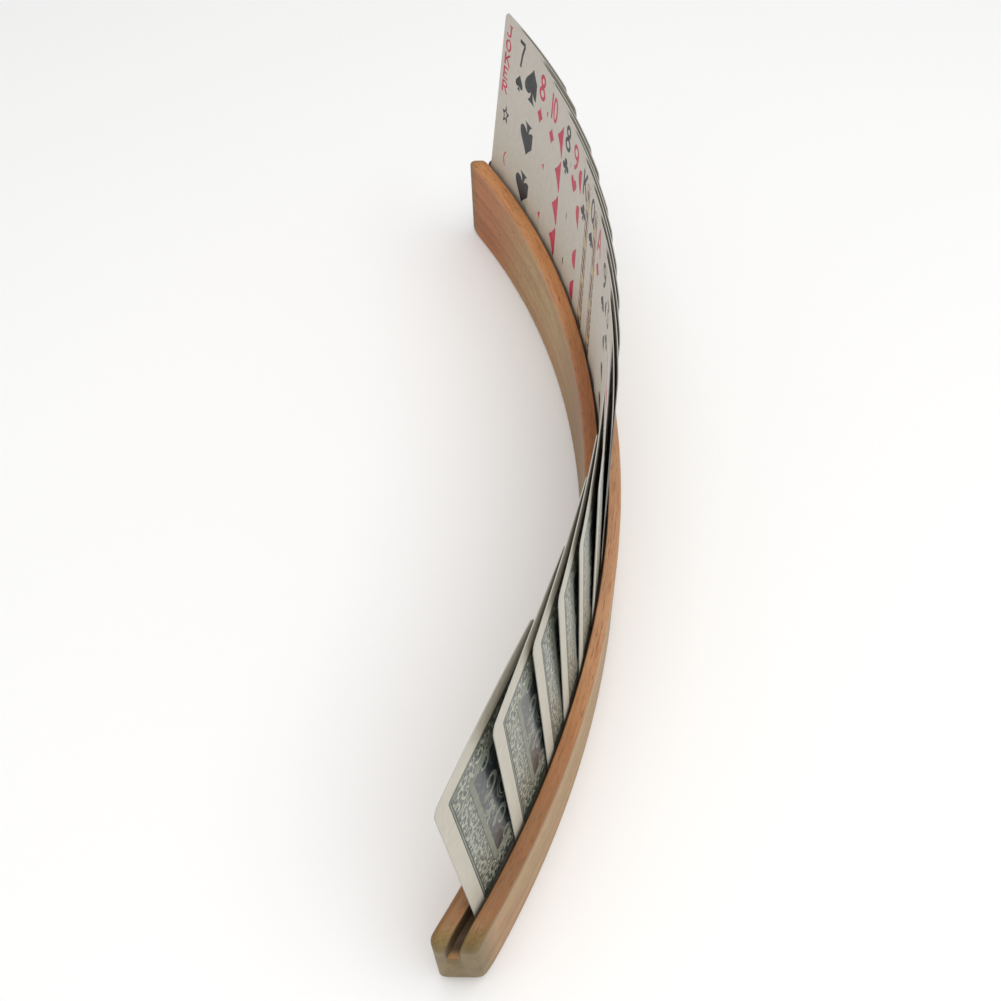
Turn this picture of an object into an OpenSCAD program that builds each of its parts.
// Curved wooden playing card holder with a fanned hand of cards.
// Millimetres, +Z up. The origin is the middle of the rack's bottom face. The rack bends
// about a vertical axis on the -X side, where the player sits, and runs along Y.

/* [Rack] */
// Radius of the bent centreline of the rack
bend_r = 362; // [250:1:500]
// Straight distance between the two square-cut ends
chord_l = 377; // [250:1:400]
// Thickness of the rack, through the bend
rack_w = 14.5; // [12:0.5:24]
// Height of the rack
rack_h = 47; // [30:0.5:60]
// Rounding of the two long top edges
top_round = 2.6; // [1:0.1:4]
// Rounding of the two long bottom edges
foot_round = 1.8; // [0.5:0.1:3]
// Rounding of the upright corners at the two ends
end_round = 3; // [2:0.5:6]
// Rounding where the top runs over into the two end faces
end_fall = 5; // [1:0.5:8]
// Rounding where the bottom runs up into the two end faces
end_lift = 9; // [1:0.5:12]

/* [Slot] */
// Width of the slot along the top
slot_w = 3.6; // [2.5:0.1:5]
// Depth of the slot below the top
slot_d = 10.5; // [6:0.5:16]
// Distance of the slot's centre from the rack's centreline, away from the player
slot_off = 0.4; // [-2:0.1:2]
// Chamfer on both lips of the slot
slot_lip = 0.4; // [0:0.1:0.8]

/* [Cards] */
// Width of a card
card_w = 63.5; // [56:0.5:64]
// Height of a card
card_h = 88.9; // [86:0.1:90]
// Thickness of a card
card_t = 0.28; // [0.24:0.01:0.32]
// Corner radius of a card
card_r = 3.2; // [2:0.1:4]
// Turn of each card across the slot, so that the hand lies like shingles (degrees)
card_turn = 1.75; // [1.6:0.05:2.2]
// Gap under the cards' bottom edges
card_gap = 0.2; // [0.05:0.05:0.5]

/* [Hidden] */
$fn = 96;
// Where each card's first edge stands along the slot, from the middle of the rack
card_at = [-186, -159, -132, -115, -96, -74, -49, -29, -11, 6, 22, 39, 51.5, 72, 87, 112, 126];
// How the tops of the cards hang out: a share of the way along the slot, and how it flares
hang_share = 0.035;
hang_sway = 3.4e-5;
hang_flare = 8e-7;
deg = 180 / PI;
end_y = chord_l / 2;
slot_r = bend_r + slot_off;
card_z = rack_h - slot_d + card_gap;
pivot_z = slot_d / 2 - card_gap;
// Middle of a card along the slot, and how far its top hangs out, which grows to both ends
function card_mid(i) = card_at[i] + card_w / 2;
function hang_at(s) = hang_share * s + hang_sway * pow(s, 2) + hang_flare * pow(s, 3);
function card_hang(i) = hang_at(card_mid(i));
function card_lean(i) = asin(card_hang(i) / card_h);
function card_phi(i) = card_mid(i) / slot_r * deg;

// A rectangle with round corners: rt at its upper two, rb at its lower two
module round_box(w, h, rt, rb) {
  translate([-w / 2 + rt, 0]) square([w - 2 * rt, h]);
  translate([-w / 2, rb]) square([w, h - rt - rb]);
  translate([-w / 2 + rb, 0]) square([w - 2 * rb, rb]);
  for (s = [-1, 1]) {
    translate([s * (w / 2 - rt), h - rt]) circle(rt);
    translate([s * (w / 2 - rb), rb]) circle(rb);
  }
}

// Cross-section of the rack, and of its slot with the chamfered lips
module rack_profile() {
  difference() {
    round_box(rack_w, rack_h, top_round, foot_round);
    polygon([
      [slot_off - slot_w / 2, rack_h - slot_d],
      [slot_off + slot_w / 2, rack_h - slot_d],
      [slot_off + slot_w / 2, rack_h - slot_lip],
      [slot_off + slot_w / 2 + 2 * slot_lip, rack_h + slot_lip],
      [slot_off - slot_w / 2 - 2 * slot_lip, rack_h + slot_lip],
      [slot_off - slot_w / 2, rack_h - slot_lip]
    ]);
  }
}

// What comes off one upright corner at the end of the rack. wall_r is the wall's radius
// about the bend's axis, and side is 1 for the outer wall and -1 for the inner one.
module corner_waste(wall_r, side) {
  cr = wall_r - side * end_round;
  cy = end_y - end_round;
  cx = sqrt(cr * cr - cy * cy);
  far_r = wall_r + side * end_round;
  difference() {
    polygon([
      [cx, cy],
      [cx, end_y + 1],
      [cx * wall_r / cr + side * end_round, end_y + 1],
      [cx * far_r / cr, cy * far_r / cr]
    ]);
    translate([cx, cy]) circle(end_round);
  }
}

// Plan of the rack about the bend's axis: between the two ends, corners rounded off
module rack_plan() {
  difference() {
    translate([bend_r / 2, -end_y]) square([bend_r, chord_l]);
    for (m = [0, 1]) mirror([0, m]) {
      corner_waste(bend_r + rack_w / 2, 1);
      corner_waste(bend_r - rack_w / 2, -1);
    }
  }
}

// Side view of the rack along Y, for the rounding at the top and bottom of the two ends
module rack_side() {
  round_box(chord_l, rack_h + 0.001, end_fall, end_lift);
}

module rack() {
  color([0.66, 0.47, 0.31])
  translate([-bend_r, 0, 0])
  intersection() {
    rotate([0, 0, -36])
    rotate_extrude(angle = 72, $fn = 360)
    translate([bend_r, 0]) rack_profile();
    translate([0, 0, -1]) linear_extrude(rack_h + 2) rack_plan();
    translate([bend_r / 2, 0, 0]) rotate([90, 0, 90])
    linear_extrude(bend_r) rack_side();
  }
}

// A card, bent to the slot's radius: its middle stands at the origin of its bottom edge
module card_blank() {
  intersection() {
    translate([-slot_r, 0, 0])
    rotate([0, 0, -8])
    rotate_extrude(angle = 16, $fn = 360)
    translate([slot_r - card_t / 2, -1]) square([card_t, card_h + 2]);
    translate([-10, 0, 0]) rotate([90, 0, 90])
    linear_extrude(20) round_box(card_w, card_h, card_r, card_r);
  }
}

// A card in its place in the slot, turned like a shingle and leaning by its own amount
module card(i) {
  color([0.84, 0.82, 0.76])
  translate([-bend_r, 0, 0])
  rotate([0, 0, card_phi(i)])
  translate([slot_r, 0, card_z + pivot_z])
  rotate([0, card_lean(i), 0])
  rotate([0, 0, card_turn])
  translate([0, 0, -pivot_z])
  card_blank();
}

rack();
card(0);  // card_01
card(1);  // card_02
card(2);  // card_03
card(3);  // card_04
card(4);  // card_05
card(5);  // card_06
card(6);  // card_07
card(7);  // card_08
card(8);  // card_09
card(9);  // card_10
card(10);  // card_11
card(11);  // card_12
card(12);  // card_13
card(13);  // card_14
card(14);  // card_15
card(15);  // card_16
card(16);  // card_17
